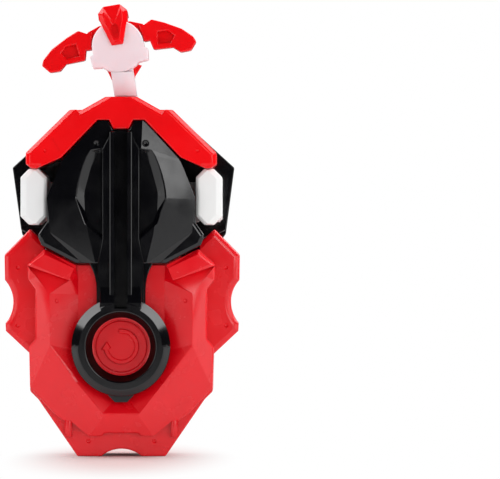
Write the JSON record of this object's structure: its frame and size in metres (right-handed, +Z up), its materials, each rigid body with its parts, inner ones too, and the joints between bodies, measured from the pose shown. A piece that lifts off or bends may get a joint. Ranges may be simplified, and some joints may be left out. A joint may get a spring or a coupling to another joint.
{
  "type": "spinning top launcher",
  "caption": "Hand-held string launcher for spinning tops: faceted grip with a string drum and gears, lift-off head with a geared disc whose prongs drive the top, and winged pull handle.",
  "frame": {"origin": "on the ground under the middle of the launcher's outline and of its depth", "axes": "+Z up along the launcher from its feet to the pull handle, +Y to the back where the launch disc faces, +X to the right seen from the front"},
  "size_m": [0.0788, 0.045, 0.1509],
  "materials": {
    "red_plastic": "gloss",
    "black_plastic": "gloss",
    "white_plastic": "satin",
    "milky_plastic": "satin, slightly translucent",
    "plated_steel": "plated",
    "spring_steel": "blued",
    "brass": "turned",
    "cord": "woven"
  },
  "bodies": {
    "grip_body": {"body_front_shell": "red_plastic", "body_rear_shell": "red_plastic", "body_screws": "plated_steel", "drum_axle": "plated_steel", "idler_axle": "plated_steel", "return_spring": "spring_steel", "spring_cover": "black_plastic", "string_lower_run": "cord"},
    "drum": {"string_drum": "white_plastic", "drum_gear": "white_plastic", "wound_string": "cord"},
    "idler": {"idler_gear": "white_plastic"},
    "head": {"head_front_plate": "black_plastic", "head_rear_housing": "black_plastic", "top_cap": "red_plastic", "inner_frame": "white_plastic", "shaft_bush": "brass", "guide_pin": "plated_steel", "string_eyelet": "plated_steel", "head_screws": "plated_steel", "string_guide_run": "cord", "string_outer_run": "cord"},
    "launch_disc": {"launch_disc": "white_plastic", "disc_shaft": "plated_steel", "output_gear": "white_plastic", "shaft_clip": "plated_steel", "centre_washer": "plated_steel", "centre_screw": "plated_steel"},
    "handle": {"handle_wings": "red_plastic", "handle_core_front": "milky_plastic", "handle_core_rear": "milky_plastic", "handle_keel_front": "red_plastic", "handle_keel_rear": "red_plastic", "handle_pin": "plated_steel", "string_knot": "cord"}
  },
  "joints": [
    {"name": "head_lift", "type": "slide", "parent": "grip_body", "child": "head", "axis": [0, 0, 1], "range_m": [0, 0.06], "deforming": ["string_lower_run"]},
    {"name": "handle_pull", "type": "slide", "parent": "head", "child": "handle", "axis": [0, 0, 1], "range_m": [0, 0.5], "stiffness_N_per_m": 6, "springref_m": -0.3, "deforming": ["string_outer_run"]},
    {"name": "drum_spin", "type": "hinge", "parent": "grip_body", "child": "drum", "pos_m": [0, -0.003, 0.0366], "axis": [0, 1, 0], "range_deg": [0, 2292]},
    {"name": "idler_spin", "type": "hinge", "parent": "grip_body", "child": "idler", "pos_m": [0, -0.003, 0.0641], "axis": [0, 1, 0], "range_deg": [-6112, 0]},
    {"name": "disc_spin", "type": "hinge", "parent": "head", "child": "launch_disc", "pos_m": [0, -0.003, 0.0836], "axis": [0, 1, 0], "range_deg": [0, 3820]}
  ],
  "couplings": [
    {"joint": "drum_spin", "follows": "handle_pull", "rad_per_m": 80},
    {"joint": "idler_spin", "follows": "handle_pull", "rad_per_m": -213.33},
    {"joint": "disc_spin", "follows": "handle_pull", "rad_per_m": 133.33}
  ]
}
